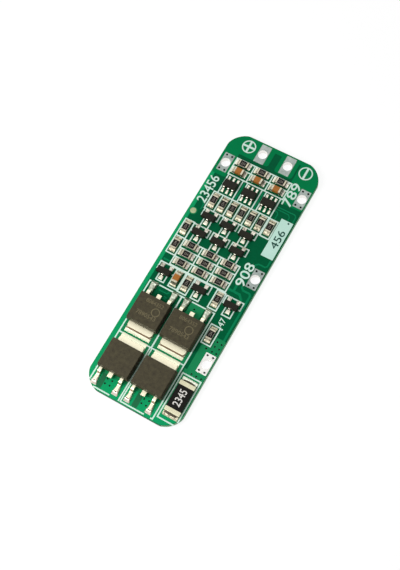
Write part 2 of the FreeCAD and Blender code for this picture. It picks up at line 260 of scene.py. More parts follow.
def give(piece, slot, test=every):
    """Puts the faces that pass the test in a material slot."""
    for face in piece.data.polygons:
        if test(face.center, face.normal):
            face.material_index = slot
    return piece


def move(piece, x=0.0, y=0.0, z=0.0, degrees=0.0, scale=1.0):
    """Scales the piece, turns it about the upright axis and moves it."""
    piece.location = (x, y, z)
    piece.rotation_euler = (0, 0, math.radians(degrees))
    piece.scale = (scale, scale, scale)
    return bake(piece)


def set_down(piece, x=0.0, y=0.0, z=0.0, degrees=0.0):
    """From millimetres round the origin to its place in the frame."""
    return move(piece, x * MM, y * MM, z * MM, degrees, MM)


def hand_over(piece, slot, *nodes):
    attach(piece, "root")
    if nodes:
        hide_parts(*nodes)


def nodes_with(part):
    return sorted(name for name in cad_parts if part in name)


def middle_of(node):
    """Middle of a CAD node in millimetres, and its turn: 90 where it lies along Y."""
    low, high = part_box(node)
    size = high - low
    return (low.x + high.x) / 2 / MM, (low.y + high.y) / 2 / MM, 90.0 if size.y > size.x else 0.0


def on_board(x, y):
    """From millimetres right of the left edge and down from the output edge to the frame's."""
    return x - board_width / 2, board_length / 2 - y


def plate(name, x0, y0, x1, y1, low, high):
    """Block between two corners given from the board's edges."""
    left, top = on_board(x0, y0)
    right, bottom = on_board(x1, y1)
    return block(name, (right - left, top - bottom, high - low),
                 ((left + right) / 2, (top + bottom) / 2, (low + high) / 2))


# Finishes

def linear(colour):
    """sRGB hex to linear RGBA."""
    parts = [int(colour[n:n + 2], 16) / 255 for n in (0, 2, 4)]
    return [part / 12.92 if part <= 0.04045 else ((part + 0.055) / 1.055) ** 2.4 for part in parts] + [1.0]


def add(tree, kind, links=None, values=None, **settings):
    """One node with its settings, its socket values and its links."""
    node = tree.nodes.new("ShaderNode" + kind)
    for name, value in settings.items():
        setattr(node, name, value)
    for socket, value in (values or {}).items():
        node.inputs[socket].default_value = value
    for socket, source in (links or {}).items():
        tree.links.new(source, node.inputs[socket])
    return node


def finish(name, constants):
    """A new material with its shader; constants go on the shader's own sockets."""
    material = bpy.data.materials.new(name)
    material.use_nodes = True
    tree = material.node_tree
    shader = tree.nodes["Principled BSDF"]
    for socket, value in constants.items():
        shader.inputs[socket].default_value = value
    return material, tree, shader


def mottled(name, light, dark, grain, patch, roughness, metallic=0.0, shine=0.5, bump=0.0, contrast=0.5,
            even=0.5):
    """Fine grain over broad patches, both in millimetres; bump is the grain's depth in millimetres."""
    material, tree, shader = finish(name, {"Metallic": metallic, "Specular IOR Level": shine})
    place = add(tree, "TexCoord").outputs["Object"]
    fine, broad = (add(tree, "TexNoise", {"Vector": place},
                       {"Scale": 1 / (size * MM), "Detail": detail, "Roughness": rough})
                   for size, detail, rough in ((grain, 3.0, 0.6), (patch, 2.0, 0.5)))
    both = add(tree, "Mix", {2: fine.outputs["Fac"], 3: broad.outputs["Fac"]}, {0: even}, data_type="FLOAT")
    spread = add(tree, "MapRange", {"Value": both.outputs[0]},
                 {"From Min": 0.5 - contrast / 2, "From Max": 0.5 + contrast / 2})
    colour = add(tree, "Mix", {0: spread.outputs[0]}, {6: linear(dark), 7: linear(light)}, data_type="RGBA")
    tree.links.new(colour.outputs[2], shader.inputs["Base Color"])
    rough = add(tree, "MapRange", {"Value": fine.outputs["Fac"]},
                {"From Min": 0.3, "From Max": 0.7, "To Min": roughness[0], "To Max": roughness[1]})
    tree.links.new(rough.outputs[0], shader.inputs["Roughness"])
    if bump:
        relief = add(tree, "Bump", {"Height": fine.outputs["Fac"]}, {"Strength": 1.0, "Distance": bump * MM})
        tree.links.new(relief.outputs[0], shader.inputs["Normal"])
    return material


def mask(name, light, dark, metallic, shine, grain=0.35, patch=7.0, roughness=(0.36, 0.46)):
    """Green lacquer."""
    return mottled(name, light, dark, grain, patch, roughness, metallic, shine, bump=0.003, contrast=0.7)


def ink(name, light, dark, roughness=(0.5, 0.62)):
    """Screen printed ink."""
    return mottled(name, light, dark, 0.2, 2.0, roughness, shine=0.2, contrast=0.6)


def metal(name, light, dark, grain, patch, roughness, bump, contrast=0.5, even=0.5):
    """Bare tin or solder."""
    return mottled(name, light, dark, grain, patch, roughness, 1.0, bump=bump, contrast=contrast, even=even)


# Solder mask: smooth epoxy lacquer; its green swallows what the laminate returns
bare_mask = mask("mask_on_laminate", "006940", "005835", 0.0, 0.03, 0.45, 6.0, (0.3, 0.4))
# Over copper foil the foil's sheen comes back through it, tinted green
copper_mask = mask("mask_on_copper", "20925c", "188250", 0.1, 0.04)
# At the output end a darker copy of it: painted shade
output_mask_shade = mask("mask_on_output_copper_painted_shade", "008a50", "007a46", 0.06, 0.03)
# Over the power copper a lighter copy of it: painted light
power_mask_light = mask("mask_on_power_copper_painted_light", "12a86a", "089a5e", 0.08, 0.05)
# Gap in the power copper: the copper of the far face shows dimly through the glass
gap_mask = mask("mask_over_gap", "2c7850", "226a46", 0.0, 0.04)
track_mask = mask("mask_on_tracks", "0c8a5a", "067c50", 0.08, 0.04)
# Bores of the vias: painted shade
via_bore_shade = mottled("via_bore_painted_shade", "1c3a2a", "10241a", 0.1, 0.5, (0.5, 0.7), shine=0.1)
# Routed edge of the laminate, and a darker green on the side face at the near end
laminate = mottled("routed_laminate", "a0dcae", "80be90", 0.12, 1.5, (0.6, 0.8), shine=0.3, bump=0.01,
                   contrast=0.6)
near_end_edge = mottled("near_end_side_green", "327050", "22583a", 0.12, 1.5, (0.5, 0.7), shine=0.2, bump=0.008,
                      contrast=0.6)
# Legend ink: thin enough for the green to tint it
line_ink = ink("screen_printed_lines", "f0fff7", "d6fbe9")
block_ink = ink("screen_printed_block", "dcfff2", "c9f6e4")
dark_ink = ink("dark_printed_ink", "1d5548", "0f3f35", (0.45, 0.6))
# Levelled tin: dull and finely frosted on the old lands, bright where freshly wetted
dull_tin = metal("levelled_tin_dull", "a8b0ab", "6f7a75", 0.22, 0.8, (0.38, 0.6), 0.012, 0.45)
bright_tin = metal("levelled_tin_bright", "f6f4f0", "e6e3dd", 0.35, 1.5, (0.16, 0.3), 0.006)
# Reflowed solder: smooth and creamy where it froze last, darker where flux and grain lie
reflowed = metal("reflowed_solder", "f8f5e6", "cac4ac", 0.34, 0.5, (0.3, 0.48), 0.006, even=0.4)
# The same solder darker, for the right and far ends of the chips and packages: painted shade
shaded_solder = metal("solder_painted_shade", "f0ecde", "6a6452", 0.3, 0.42, (0.2, 0.4), 0.012, 0.3)
# At the near end of the upright chips and of the shunt a darker copy again: painted shade
near_shaded_solder = metal("near_solder_painted_shade", "ccc6ae", "5c5644", 0.3, 0.42, (0.32, 0.5), 0.012, 0.3)
# Solder pooled over the power leads: duller, warmed by flux
pooled = metal("pooled_solder", "f4ebe0", "b0a292", 0.35, 0.6, (0.28, 0.45), 0.01)
# Solder drawn out thin and level beside a tab
wetted = metal("wetted_tin", "e0e2c8", "d0d0b4", 0.3, 1.4, (0.26, 0.4), 0.004, 0.6)
# Solder at the upper power leads: frosted, with flux glaze in the hollows
frosted = metal("frosted_solder", "eef2e0", "566048", 0.3, 0.5, (0.3, 0.5), 0.03, 0.34)
# Flux residue on the lower power leads; the same colour along the upper tabs' walls is painted shadow
flux_and_shadow = mottled("flux_residue_and_painted_shadow", "98704e", "6e4c36", 0.1, 0.4, (0.3, 0.4), contrast=0.6)
# Along the metal, where the solder rises steeply, and on the beads at the large resistor's caps: painted
# shade
crevice_shade = mottled("crevice_painted_shade", "5c5038", "2e281c", 0.12, 0.5, (0.35, 0.5), shine=0.3)
# Matt tin plating on stamped copper
stamped_tin = mottled("tin_plated_copper", "fcf6da", "f2eacc", 0.14, 1.6, (0.28, 0.4), 0.8, bump=0.003)
# Down slopes of the lower power switches' leads: painted shade
lead_slope_painted_shade = mottled("lead_slope_painted_shade", "bca68e", "8f7a66", 0.14, 0.6, (0.3, 0.45), 0.9, bump=0.004)
# Edge sheared after plating, where the copper shows
cut_copper = mottled("sheared_copper_edge", "a08a66", "786248", 0.12, 0.6, (0.45, 0.6), 0.15, 0.2, bump=0.006)
# The small packages' leads, and their slopes, which mirror the dark body beside them
small_lead_tin = metal("small_lead_tin", "e8e6d8", "cfccba", 0.12, 0.8, (0.26, 0.4), 0.003)
shaded_tin = mottled("shaded_lead_slope", "6e6a5a", "46443a", 0.12, 0.5, (0.35, 0.5), 0.6, bump=0.003)
# Cap of the large resistor: folded sheet, greyer and duller
folded_cap = metal("folded_cap", "d0ccb0", "bcb89a", 0.14, 1.2, (0.36, 0.48), 0.004)
plated_end = metal("barrel_plated_tin", "ccc6b0", "928a76", 0.14, 0.4, (0.3, 0.5), 0.006, 0.45)
# Moulding compound: silica-filled epoxy, matt from the mould
moulding = mottled("moulding_compound", "544e38", "302a1f", 0.2, 0.7, (0.5, 0.68), shine=0.2, bump=0.012)
small_moulding = mottled("small_moulding_compound", "26241a", "14130d", 0.1, 0.7, (0.42, 0.6), shine=0.15,
                         bump=0.01, contrast=0.55)
glaze = mottled("fired_glaze", "16140f", "0c0b08", 0.12, 0.6, (0.25, 0.42), shine=0.12, bump=0.004)
alumina = mottled("alumina", "d9d4c6", "b9b3a4", 0.1, 0.6, (0.5, 0.7), bump=0.004)
tan_ceramic = mottled("capacitor_ceramic", "c07a30", "9c5e20", 0.12, 0.7, (0.36, 0.52), shine=0.25,
                      bump=0.005, contrast=0.6)
grey_mark = mottled("fired_marking", "948c80", "746c62", 0.08, 0.4, (0.5, 0.6), contrast=0.6)
white_mark = mottled("white_marking", "f6f4ee", "dedad2", 0.12, 0.8, (0.5, 0.6), contrast=0.6)
# Laser marking: only a little paler and warmer than the compound
laser_mark = mottled("laser_marking", "766b46", "4e4936", 0.1, 0.6, (0.6, 0.75))
gold = mottled("pale_gold", "aeb890", "8a9470", 0.15, 0.6, (0.25, 0.42), 0.8, bump=0.004)


# Board

plain_pads = ("output_positive_pad", "output_negative_pad")
via_pads = ("pack_positive_pad", "upper_tap_pad", "lower_tap_pad", "pack_negative_pad")
wire_holes = {name: middle_of(name)[:2] for name in plain_pads + via_pads}


def corner_via_places(x, y):
    across, along = pad_width / 2 - via_inset_across, pad_length / 2 - via_inset_along
    return [(x + side * across, y + end * along) for side in (-1, 1) for end in (-1, 1)]


corner_vias = [place for name in via_pads for place in corner_via_places(*wire_holes[name])]

# Small plated holes away from the pads: x from the left edge, y from the output edge
open_vias = [on_board(*place) for place in (
    (4.12, 56.15), (5.12, 56.15), (4.12, 57.15), (5.12, 57.1),
    (12.02, 56.15), (13.05, 56.1), (11.97, 57.1), (12.97, 57.1),
    (18.5, 40.35), (19.45, 40.45), (18.5, 41.35), (19.45, 41.45),
    (17.25, 42.4), (18.5, 42.45), (19.4, 42.45),
    (17.3, 47.95), (18.3, 47.95), (19.35, 47.95),
    (5.25, 37.65), (11.5, 36.85), (19.55, 51.45), (19.55, 52.6))]

# Covered copper: two corners of each area from the same edges, then its corner radius
side_copper = [(18.0, 39.6, 19.95, 43.0, 0.3), (16.1, 42.0, 19.95, 48.2, 0.3), (10.3, 35.9, 13.2, 39.0, 0.1),
               (15.6, 47.5, 19.95, 55.5, 0.2), (1.1, 38.6, 15.3, 55.5, 0.1)]
output_copper = [(9.0, 0.05, 15.6, 1.0, 0.3), (0.05, 0.05, 9.45, 4.4, 0.5), (10.95, 0.05, 14.8, 4.6, 0.5),
                 (15.15, 0.05, 19.95, 9.9, 0.5), (0.05, 3.6, 3.15, 10.2, 0.4)]
power_copper = [(0.05, 9.6, 0.85, 39.0, 0.2), (0.05, 38.6, 1.1, 58.9, 0.1), (0.05, 55.0, 2.85, 58.9, 0.1),
                (3.85, 55.0, 10.5, 58.9, 0.1), (11.65, 55.0, 19.95, 58.95, 0.1),
                (1.2, 58.4, 18.8, 58.95, 0.1)]
copper_gaps = [(2.8, 55.45, 3.9, 58.5, 0.05), (10.45, 55.45, 11.7, 58.5, 0.05)]

# Covered tracks: width, then the points of the route
tracks = [(0.24, (15.3, 10.95), (19.1, 10.95), (19.45, 11.3), (19.45, 12.7)),
          (0.2, (15.4, 11.45), (17.9, 11.45), (18.4, 11.95), (18.4, 12.7)),
          (0.22, (15.3, 11.95), (15.7, 11.95), (16.05, 12.3), (16.05, 13.6)),
          (0.32, (19.5, 21.5), (19.5, 22.8), (19.15, 23.15), (17.8, 23.15), (16.95, 24.0)),
          (0.5, (15.7, 25.4), (16.2, 25.9), (16.2, 30.2)),
          (0.5, (15.1, 30.2), (17.5, 30.2), (18.3, 31.0), (18.3, 31.4)),
          (0.42, (17.1, 28.6), (17.7, 29.2), (19.1, 29.2), (19.45, 29.55), (19.45, 39.8)),
          (0.3, (1.1, 30.6), (2.6, 30.6)),
          (0.35, (7.2, 9.5), (7.2, 13.5)),
          (0.35, (11.4, 9.5), (11.4, 13.5)),
          (0.25, (3.6, 36.6), (5.3, 36.6), (5.7, 36.2)),
          (0.7, (5.4, 37.2), (5.4, 37.9)),
          (0.25, (1.5, 16.4), (2.3, 17.2), (2.3, 18.4))]


def drills(places, radius, sides):
    return join([rod("drill", radius, drill_low, drill_high, sides, x, y) for x, y in places], "drills")


def via_drills(extra):
    """Drills for every via, this much over its radius."""
    return join([drills(open_vias, small_via_radius + extra, via_sides),
                 drills(corner_vias, via_radius + extra, via_sides)], "drills")


def board_slab(margin, low, high):
    """Block with the board's outline, this far inside it."""
    slab = block("slab", (board_width - 2 * margin, board_length - 2 * margin, high - low),
                 (0, 0, (low + high) / 2))
    return round_off(slab, upright, corner_reach - 0.5 * margin, corner_segments, corner_profile)


def bare_board():
    """Slab with routed corners, softened rims, wire holes and vias."""
    board = round_off(board_slab(0, 0, board_top), lambda at, way: abs(way.z) < 0.1, rim_bevel, 1)
    carve(board, drills(wire_holes.values(), hole_radius, bore_sides))
    carve(board, via_drills(0.0))
    paint(board, bare_mask, laminate, near_end_edge, via_bore_shade)
    give(board, 1, lambda at, way: abs(way.z) < 0.3)
    # Side face at the near end in the darker green
    give(board, 2, lambda at, way: way.y < -0.85 and at.y < 0.1 - board_length / 2)
    # Bores of the vias in painted shade
    inner_x, inner_y = board_width / 2 - 0.1, board_length / 2 - 0.1
    vias = [Vector(place) for place in open_vias + corner_vias]
    give(board, 3, lambda at, way: abs(way.z) < 0.3 and abs(at.x) < inner_x
         and abs(at.y) < inner_y and min((at.xy - via).length for via in vias) < via_radius + 0.02)
    return smooth(board)


def pour(x0, y0, x1, y1, radius):
    """Area of covered copper: a plate with rounded corners."""
    top = board_top + copper_step
    return round_off(plate("pour", x0, y0, x1, y1, top - 0.1, top), upright, radius, 5)


def covered_pours():
    """Areas of covered copper and the gaps in it, in four greens, with the ring round the test point; the
    output end's green is painted shade and the power copper's painted light.
    """
    halo = rod("pour", 0.8, board_top - 0.02, board_top + copper_step, 32, *on_board(1.17, 19.3))
    areas = [[pour(*place) for place in places]
             for places in (side_copper, output_copper, power_copper, copper_gaps)]
    areas[0].insert(0, halo)
    for slot, pours in enumerate(areas):
        for area in pours:
            give(paint(area, copper_mask, output_mask_shade, power_mask_light, gap_mask), slot)
    return join(sum(areas, []), "covered_copper")


def trace(width, *points):
    """Covered track: a flattened round bar through points given from the board's edges."""
    curve = bpy.data.curves.new("trace", "CURVE")
    curve.dimensions = "3D"
    curve.bevel_depth = width / 2
    curve.bevel_resolution = 2
    curve.use_fill_caps = True
    line = curve.splines.new("POLY")
    line.points.add(len(points) - 1)
    for point, (x, y) in zip(line.points, points):
        point.co = (*on_board(x, y), 0.0, 1.0)
    take(new_object("trace", curve))
    bpy.ops.object.convert(target="MESH")
    track = bpy.context.object
    track.scale = (1, 1, 2 * (copper_step - 0.005) / width)
    track.location = (0, 0, board_top)
    return bake(track)


# Legend

def ink_bar(x0, y0, x1, y1, width=ink_width):
    """Printed line between two points that share an x or a y."""
    half = width / 2
    return plate("ink_bar", min(x0, x1) - half, min(y0, y1) - half, max(x0, x1) + half, max(y0, y1) + half,
                 board_top - 0.02, ink_top)


def ink_table(xs, ys):
    """Ruled table: every column line and every row line."""
    bars = [ink_bar(x, ys[0], x, ys[-1]) for x in xs]
    return bars + [ink_bar(xs[0], y, xs[-1], y) for y in ys]


def ink_rows(y, *spans):
    """Broken line at one height."""
    return [ink_bar(x0, y, x1, y) for x0, x1 in spans]


def ink_bracket(x0, x1, foot_x0, foot_x1, top, hook, foot_top, foot):
    """Outline round a three-leaded package: a hooked frame above and an open box below."""
    return [ink_bar(*ends) for ends in (
        (x0, top, x1, top), (x0, top, x0, hook), (x1, top, x1, hook), (x0, hook, x0 + 0.2, hook),
        (x1 - 0.2, hook, x1, hook), (foot_x0, foot_top, foot_x0, foot), (foot_x1, foot_top, foot_x1, foot),
        (foot_x0, foot, foot_x1, foot))]


def chip_legend():
    """Tables round the chips and brackets round the transistors."""
    bars = ink_table((3.28, 7.31, 11.42, 15.42), (5.35, 7.24, 9.17))
    bars += [ink_bar(x, 9.17, x, 13.75) for x in (3.49, 6.74, 7.78, 10.99, 11.92, 15.06)]
    bars += ink_table((2.78, 4.78, 6.81, 8.89, 10.89, 12.89, 14.92), (13.75, 17.70))
    bars += ink_table((15.12, 16.99), (13.82, 17.82))
    for sides in ((2.99, 6.42, 3.89, 5.52), (7.14, 10.56, 7.99, 9.66), (11.21, 14.71, 12.11, 13.78)):
        bars += ink_bracket(*sides, top=17.70, hook=19.25, foot_top=19.95, foot=21.52)
    for sides in ((2.74, 6.42, 3.75, 5.49), (7.0, 10.6, 7.92, 9.61), (11.3, 14.8, 12.16, 13.85)):
        bars += ink_bracket(*sides, top=21.52, hook=23.05, foot_top=23.85, foot=25.3)
    bars += ink_table((0.75, 2.71), (21.41, 25.23, 29.15))
    bars += ink_table((2.74, 6.74, 10.89, 14.92), (25.3, 27.2, 29.2, 31.1))
    bars += ink_bracket(1.0, 4.6, 1.96, 3.61, top=31.3, hook=32.85, foot_top=33.5, foot=35.0)
    bars += ink_table((4.66, 6.55), (31.3, 35.1)) + ink_table((6.8, 8.6), (31.3, 35.22))
    bars += ink_bracket(8.8, 12.28, 9.66, 11.32, top=31.3, hook=33.03, foot_top=33.5, foot=35.17)
    bars += ink_table((13.42, 15.21), (31.3, 35.22))
    return bars + ink_bracket(15.55, 19.18, 16.49, 18.25, top=31.46, hook=33.06, foot_top=33.6, foot=35.26)


def power_legend():
    """Frames round the power switches, the lower right pad and the large resistor."""
    left, middle, right = 1.14, 8.18, 15.24
    top, between, bottom = 35.75, 47.2, 58.65
    bars = [ink_bar(*ends) for ends in (
        (left, top, left, 57.6), (right, top, right, bottom), (middle, top, middle, between, 0.3),
        (middle - 0.2, between, middle - 0.2, bottom), (middle + 0.2, between, middle + 0.2, bottom),
        (left, between, right, between))]
    bars += ink_rows(top, (left, 1.3), (3.28, 6.14), (7.6, 8.65), (10.49, 13.28), (14.85, right))
    bars += ink_rows(bottom, (2.62, 5.85), (8.38, 13.28), (14.92, right))
    bars += ink_table((15.75, 17.71), (37.75, 41.75))
    x0, y0, x1, y1 = 15.78, 48.49, 19.62, 57.79
    return bars + [ink_bar(*ends) for ends in (
        (x0, y0, x0, y1), (x0, y0, x1, y0), (x1, y0, x1, 56.95), (x0, y1, 19.06, y1))]


def digits(text, height, length, low, high, degrees=0.0):
    """Plain figures as a thin plate, middled on the origin, of this height and overall length."""
    deselect()
    bpy.ops.object.text_add(location=(0, 0, 0))
    words = bpy.context.object.data
    words.body = text
    words.align_x = "CENTER"
    words.align_y = "CENTER"
    words.extrude = 0.5
    words.resolution_u = 6
    bpy.ops.object.convert(target="MESH")
    figures = bpy.context.object
    open_up(figures)
    bpy.ops.mesh.select_all(action="SELECT")
    bpy.ops.mesh.remove_doubles(threshold=1e-4)
    pick(figures, "FACE", lambda at, way: abs(way.z) < 0.5)
    bpy.ops.transform.shrink_fatten(value=0.009, use_even_offset=True)
    close_up(figures)
    size = figures.dimensions
    middle = sum((Vector(corner) for corner in figures.bound_box), Vector()) / 8
    figures.data.transform(Matrix.Translation(-middle))
    figures.scale = (length / size.x, height / size.y, (high - low) / size.z)
    figures.location = (0, 0, (low + high) / 2)
    figures.rotation_euler = (0, 0, math.radians(degrees))
    return bake(figures)


def upright_figures(text, x0, x1, y0, y1):
    """Printed figures that read upwards along the board, between the given edges."""
    x, y = on_board((x0 + x1) / 2, (y0 + y1) / 2)
    return move(digits(text, x1 - x0, y1 - y0, board_top - 0.01, ink_top, 90.0), x, y)


def ring(name, outer, inner, low, high, sides=48):
    return carve(rod(name, outer, low, high, sides), rod("hole", inner, low - 1, high + 1, sides))


def polarity_sign(arms, x, y):
    """Ring with a bar along the board, and one across for the positive sign."""
    low, bar, reach = board_top - 0.01, 0.42, 2.5
    sign = ring("polarity_sign", 1.42, 1.17, low, ink_top)
    for across, along in ((bar, reach), (reach, bar))[:arms]:
        carve(sign, block("arm", (across, along, ink_top - low), (0, 0, (ink_top + low) / 2)), "UNION")
    return move(sign, *on_board(x, y))


def legend_figures():
    """Polarity signs and plain figures, with the dot after the last."""
    pieces = [polarity_sign(2, 4.12, 2.12), polarity_sign(1, 16.79, 2.17),
              upright_figures("23456", 0.42, 2.42, 10.75, 16.96),
              upright_figures("789", 15.56, 17.52, 4.89, 10.1),
              upright_figures("908", 15.56, 17.52, 23.75, 28.75),
              upright_figures("47", 16.71, 17.92, 35.82, 37.46),
              rod("dot", 0.17, board_top - 0.01, ink_top, 16, *on_board(18.04, 37.86))]
    return paint(join(pieces, "legend_figures"), line_ink)


def white_block():
    """Solid printed area with a row of dark figures and a dot."""
    low = board_top - 0.02
    area = paint(plate("white_block", 17.18, 12.77, 19.71, 21.29, low, ink_top - 0.005), block_ink)
    figures = upright_figures("456", 17.8, 19.33, 15.03, 19.03)
    dot = rod("dot", 0.2, low, ink_top, 16, *on_board(18.85, 13.17))
    return join([area, paint(figures, dark_ink), paint(dot, dark_ink)], "white_block")


# Wire pads

def wire_pad(with_vias):
    """Lands on both faces and the plated barrel between them, wetted rims rounded."""
    pad = block("wire_pad", (pad_width, pad_length, 0.06), (0, 0, seat - 0.03))
    lower = block("lower_land", (pad_width, pad_length, 0.05), (0, 0, 0.025))
    for land in (pad, lower):
        round_off(land, upright, 0.1, 3)
    carve(pad, rod("barrel", barrel_radius, 0.0, seat - 0.02, bore_sides), "UNION")
    carve(pad, lower, "UNION")
    carve(pad, drills([(0, 0)], bore_radius, bore_sides))
    if with_vias:
        carve(pad, drills(corner_via_places(0, 0), via_radius + 0.01, via_sides))
    round_off(pad, lambda at, way: at.z > seat - 0.001 and abs(way.z) < 0.1, 0.03, 3)
    paint(pad, dull_tin, bright_tin)
    give(pad, 1, lambda at, way: abs(way.z) < 0.5 and at.xy.length < hole_radius)
    return smooth(pad, 40)


# Chips

def wrapped_chip(name, height, cap, bevel, step):
    """Block with rounded edges whose middle is shrunk, which leaves a wrapped end at each side."""
    chip = block(name, (chip_length, chip_width, height), (0, 0, height / 2))
    round_off(chip, every, bevel, 2)
    open_up(chip)
    rim = chip_length / 2 - cap
    for x in (-rim, rim):
        cut((x, 0, 0), (1, 0, 0))
    pick(chip, "FACE", lambda at, way: abs(at.x) < rim)
    bpy.ops.mesh.extrude_region_shrink_fatten(
        TRANSFORM_OT_shrink_fatten={"value": -step, "use_even_offset": True})
    return close_up(chip)


def chip_resistor():
    """White ceramic with a raised field of dark glaze on top, its figures, and plated ends."""
    chip = wrapped_chip("chip_resistor", resistor_height, resistor_cap, 0.045, 0.022)
    open_up(chip)
    pick(chip, "FACE", lambda at, way: way.z > 0.99 and abs(at.x) < 0.5 and at.z > 0.4)
    bpy.ops.mesh.inset(thickness=0.012)
    pull(0, 0, 0.02)
    bpy.ops.mesh.inset(thickness=0.02)
    close_up(chip)
    finishes = (plated_end, alumina, glaze, grey_mark)
    rim = chip_length / 2 - resistor_cap
    paint(chip, *finishes)
    give(chip, 1, lambda at, way: abs(at.x) < rim - 0.001)
    give(chip, 2, lambda at, way: abs(at.x) < rim - 0.002 and at.z > resistor_height - 0.0201)
    figures = paint(digits("234", 0.5, 0.86, resistor_height - 0.01, resistor_height), *finishes)
    return smooth(join([chip, give(figures, 3)], "chip_resistor"))


def chip_capacitor():
    """Tan ceramic with plated ends."""
    chip = paint(wrapped_chip("chip_capacitor", capacitor_height, capacitor_cap, 0.09, 0.018),
                 plated_end, tan_ceramic)
    rim = chip_length / 2 - capacitor_cap
    return smooth(give(chip, 1, lambda at, way: abs(at.x) < rim - 0.001))


def shunt_body():
    """Dark body of the large resistor with its figures."""
    body = round_off(block("shunt_body", (4.64, shunt_width - 0.02, 0.6), (0, 0, 0.305)), every, 0.05, 2)
    figures = digits("2345", 1.5, 3.25, 0.58, 0.612)
    paint(body, glaze, white_mark)
    give(paint(figures, glaze, white_mark), 1)
    return smooth(join([body, figures], "shunt_body"))


def shunt_caps():
    """Folded end caps of the large resistor, each with a tongue that reaches over the body."""
    caps = []
    length = 0.86
    for side in (-1, 1):
        cap = block("shunt_cap", (length, shunt_width, 0.62), (side * (shunt_length - length) / 2, 0, 0.31))
        round_off(cap, lambda at, way: at.x * side > 2.9, 0.14, 4)
        open_up(cap)
        pick(cap, "FACE", lambda at, way: way.x * side < -0.9)
        bpy.ops.mesh.inset(thickness=0.03)
        pull(side * 0.05, 0, 0)
        caps.append(close_up(cap))
    return smooth(paint(join(caps, "shunt_caps"), folded_cap))


# Moulded packages

def mould(name, length, width, low, parting, high, lower_draft, upper_draft, edge):
    """Moulded block, widest at its parting line, with softened edges."""
    body = block(name, (length, width, high - low), (0, 0, (low + high) / 2))
    open_up(body)
    cut((0, 0, parting), (0, 0, 1))
    for z, draft in ((low, lower_draft), (high, upper_draft)):
        resize(body, "FACE", lambda at, way: abs(way.z) > 0.9 and abs(at.z - z) < 1e-3,
               (1 - 2 * draft / length, 1 - 2 * draft / width, 1), (0, 0, z))
    close_up(body)
    return round_off(body, lambda at, way: abs(at.z - parting) > 1e-3, edge, 2)


def formed_lead(width, thick, rise, reach, foot, slope, embed, radius):
    """Strip bent down from a face at y = 0 and levelled again into a foot."""
    angle = math.radians(slope)
    bend = radius + thick / 2
    tangent = bend * math.tan(angle / 2)
    knee = reach - foot - thick / 2 * math.tan(angle / 2)
    shoulder = knee - rise / math.tan(angle)
    high, low = rise + thick / 2, thick / 2
    start = shoulder - tangent
    lead = shape("lead", bpy.ops.mesh.primitive_plane_add, (width, start + embed, 1), size=1,
                 location=(0, (start - embed) / 2, high))
    open_up(lead)
    pick(lead, "EDGE", lambda at, way: abs(way.x) > 0.9 and at.y > start - 1e-4)
    straight = rise / math.sin(angle) - 2 * tangent
    bpy.ops.mesh.spin(steps=4, angle=angle, center=(0, start, high - bend), axis=(1, 0, 0))
    pull(0, straight * math.cos(angle), -straight * math.sin(angle))
    bpy.ops.mesh.spin(steps=4, angle=angle, center=(0, knee + tangent, low + bend), axis=(-1, 0, 0))
    pull(0, reach - knee - tangent, 0)
    bpy.ops.mesh.select_all(action="SELECT")
    bpy.ops.mesh.normals_make_consistent(inside=False)
    close_up(lead)
    return modify(lead, "SOLIDIFY", thickness=thick, offset=0, use_even_offset=True)


def both_ways(pattern, face, upper, lower=()):
    """Copies at the given x places on the two long sides; puts the pattern away."""
    copies = []
    for places, degrees, turn in ((upper, 0.0, 1), (lower, 180.0, -1)):
        copies += [move(twin(pattern, "copy"), x, turn * face, 0.0, degrees) for x in places]
    put_away(pattern)
    return copies


def small_package(width, span, lead_width, foot, upper, lower):
    """Body and leads of a three- or six-leaded package, sitting on z = 0."""
    body = mould("package_body", 2.9, width, low=0.06, parting=0.58, high=1.09,
                 lower_draft=0.09, upper_draft=0.1, edge=0.045)
    dimple = rod("dimple", 0.13, 1.06, 1.2, 16, -1.1, -width / 2 + 0.35)
    paint(carve(body, dimple), small_moulding)
    lead = formed_lead(lead_width, thick=0.13, rise=0.515, reach=(span - width) / 2, foot=foot,
                       slope=78.0, embed=0.15, radius=0.08)
    leads = join(both_ways(lead, width / 2, upper, lower), "package_leads")
    leads = paint(soften(leads, 0.02, 1), small_lead_tin, shaded_tin)
    heel = span / 2 - foot + 0.06
    give(leads, 1, lambda at, way: abs(way.z) < 0.5 and width / 2 + 0.03 < abs(at.y) < heel)
    return smooth(body), smooth(leads, 40)


def switch_body():
    """Power switch moulding, drafted both ways from its parting line."""
    body = mould("switch_body", 6.6, 6.0, low=0.06, parting=0.75, high=2.24,
                 lower_draft=0.12, upper_draft=0.16, edge=0.07)
    return smooth(paint(body, moulding, laser_mark), 40)


def switch_marks():
    """Two rows of plain figures and an open ring, burnt a hair proud of the top."""
    low, high = 2.2, 2.247
    marks = [move(digits("8064352", 0.75, 3.7, low, high), 0.4, 1.75),
             move(digits("7890543", 0.85, 4.1, low, high), 0.0, -1.05),
             move(ring("ring", 0.86, 0.68, low, high, 40), 1.4, 0.2)]
    return give(join([paint(mark, moulding, laser_mark) for mark in marks], "marks"), 1)


